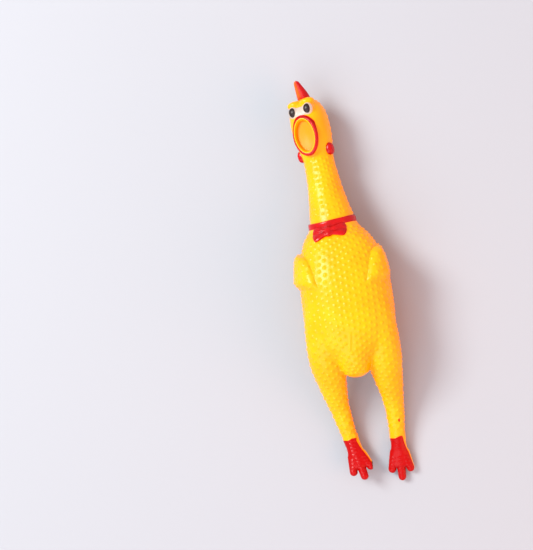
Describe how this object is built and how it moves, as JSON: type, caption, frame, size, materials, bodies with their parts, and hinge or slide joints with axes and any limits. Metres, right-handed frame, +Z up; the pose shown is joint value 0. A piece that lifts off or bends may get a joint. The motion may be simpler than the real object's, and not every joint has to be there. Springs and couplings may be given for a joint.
{
  "type": "squeaky rubber chicken",
  "caption": "Hollow squeeze-toy chicken on its back: studded vinyl skin, open beak, bow collar, limp neck and legs, pressable belly, and a reed whistle in the vent.",
  "frame": {"origin": "under the middle of the bird's bounding box, on the surface that its back lies on", "axes": "+Y from the toes towards the comb, +Z up out of the belly, +X towards the bird's own left"},
  "size_m": [0.0752, 0.3097, 0.059],
  "materials": {
    "skin": "gloss",
    "red_paint": "gloss",
    "white_paint": "gloss",
    "black_paint": "gloss",
    "whistle_plastic": "satin",
    "reed_metal": "satin"
  },
  "bodies": {
    "torso": {"torso_shell": "skin", "belly_fold": "skin", "collar_band": "red_paint", "bow_tie": "red_paint", "neck_root_flex": "skin", "left_hip_flex": "skin", "right_hip_flex": "skin", "whistle_housing": "whistle_plastic", "whistle_grille": "whistle_plastic", "reed_bed": "whistle_plastic", "reed_clip": "whistle_plastic"},
    "belly": {"belly_panel": "skin"},
    "neck_lower": {"neck_lower": "skin", "mid_neck_flex": "skin"},
    "neck_upper": {"neck_upper": "skin", "throat_flex": "skin"},
    "head": {"head_shell": "skin", "lip_ring": "red_paint", "eye_patch": "white_paint", "left_pupil": "black_paint", "right_pupil": "black_paint", "left_wattle": "red_paint", "right_wattle": "red_paint", "comb_root": "red_paint"},
    "comb": {"comb": "red_paint"},
    "left_leg": {"left_leg": "skin", "left_ankle_flex": "skin"},
    "left_foot": {"left_foot": "red_paint"},
    "right_leg": {"right_leg": "skin", "right_ankle_flex": "skin"},
    "right_foot": {"right_foot": "red_paint"},
    "reed": {"reed_tongue": "reed_metal"}
  },
  "joints": [
    {"name": "neck_bend", "type": "hinge", "parent": "torso", "child": "neck_lower", "pos_m": [-0.00392, 0.0545, 0.02553], "axis": [0.9962, 0.0872, 0], "range_deg": [-35, 50], "stiffness_Nm_per_rad": 0.5, "deforming": ["neck_root_flex"]},
    {"name": "neck_sway", "type": "hinge", "parent": "neck_lower", "child": "neck_upper", "pos_m": [-0.00562, 0.074, 0.024], "axis": [0, 0, 1], "range_deg": [-35, 35], "stiffness_Nm_per_rad": 0.4, "deforming": ["mid_neck_flex"]},
    {"name": "head_nod", "type": "hinge", "parent": "neck_upper", "child": "head", "pos_m": [-0.00711, 0.091, 0.022], "axis": [0.9954, 0.0958, 0], "range_deg": [-30, 35], "stiffness_Nm_per_rad": 0.35, "deforming": ["throat_flex"]},
    {"name": "comb_flex", "type": "hinge", "parent": "head", "child": "comb", "pos_m": [-0.01288, 0.14491, 0.02197], "axis": [0.9458, 0.0994, 0.309], "range_deg": [-20, 20], "stiffness_Nm_per_rad": 0.02, "deforming": ["comb_root"]},
    {"name": "left_hip_swing", "type": "hinge", "parent": "torso", "child": "left_leg", "pos_m": [0.0225, -0.083, 0.0176], "axis": [-1, 0, 0], "range_deg": [-45, 45], "stiffness_Nm_per_rad": 0.4, "deforming": ["left_hip_flex"]},
    {"name": "right_hip_swing", "type": "hinge", "parent": "torso", "child": "right_leg", "pos_m": [-0.0203, -0.083, 0.0176], "axis": [-1, 0, 0], "range_deg": [-45, 45], "stiffness_Nm_per_rad": 0.4, "deforming": ["right_hip_flex"]},
    {"name": "left_ankle_flex", "type": "hinge", "parent": "left_leg", "child": "left_foot", "pos_m": [0.02355, -0.118, 0.00845], "axis": [-1, 0, 0], "range_deg": [-35, 35], "stiffness_Nm_per_rad": 0.15, "deforming": ["left_ankle_flex"]},
    {"name": "right_ankle_flex", "type": "hinge", "parent": "right_leg", "child": "right_foot", "pos_m": [-0.01385, -0.118, 0.00845], "axis": [-1, 0, 0], "range_deg": [-35, 35], "stiffness_Nm_per_rad": 0.15, "deforming": ["right_ankle_flex"]},
    {"name": "belly_squeeze", "type": "slide", "parent": "torso", "child": "belly", "axis": [0, 0, -1], "range_m": [0, 0.018], "stiffness_N_per_m": 500, "deforming": ["belly_fold"]},
    {"name": "reed_buzz", "type": "hinge", "parent": "torso", "child": "reed", "pos_m": [0, -0.05166, 0.02593], "axis": [-1, 0, 0], "range_deg": [-0.4, 4], "stiffness_Nm_per_rad": 0.01}
  ]
}
